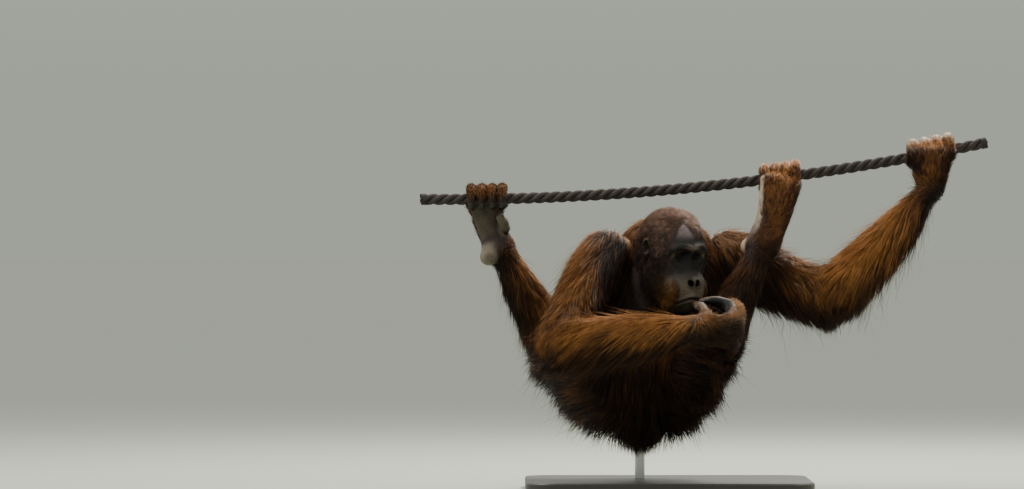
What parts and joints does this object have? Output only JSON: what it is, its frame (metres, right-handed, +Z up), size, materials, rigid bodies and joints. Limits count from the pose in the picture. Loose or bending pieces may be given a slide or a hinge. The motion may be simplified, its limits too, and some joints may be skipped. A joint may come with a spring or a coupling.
{
  "type": "orangutan",
  "caption": "Life-size still orangutan hanging from a cut length of rope by its feet and left hand, right hand at its mouth, on a flat base with a short rod.",
  "frame": {"origin": "centre of the underside of the display base", "axes": "+X along the rope to the animal's left, -Y the side that its face and belly look to, +Z up"},
  "size_m": [1.2747, 0.5139, 0.7994],
  "materials": {
    "coat": "long dark red-brown hair",
    "skin": "dark grey wrinkled skin",
    "eye": "wet gloss",
    "rope": "weathered laid rope",
    "wood": "dark satin",
    "steel": "satin"
  },
  "bodies": {
    "root": {"stand_base": "wood", "stand_rod": "steel", "perch_rope": "rope", "eye_right": "eye", "eye_left": "eye", "head": "skin", "ear_right": "skin", "ear_left": "skin", "hand_right": "skin", "hand_left": "skin", "foot_right": "skin", "foot_left": "skin", "torso": "coat", "neck": "coat", "arm_right_upper": "coat", "arm_right_fore": "coat", "arm_left_upper": "coat", "arm_left_fore": "coat", "leg_right_thigh": "coat", "leg_right_shank": "coat", "leg_left_thigh": "coat", "leg_left_shank": "coat"}
  },
  "joints": []
}
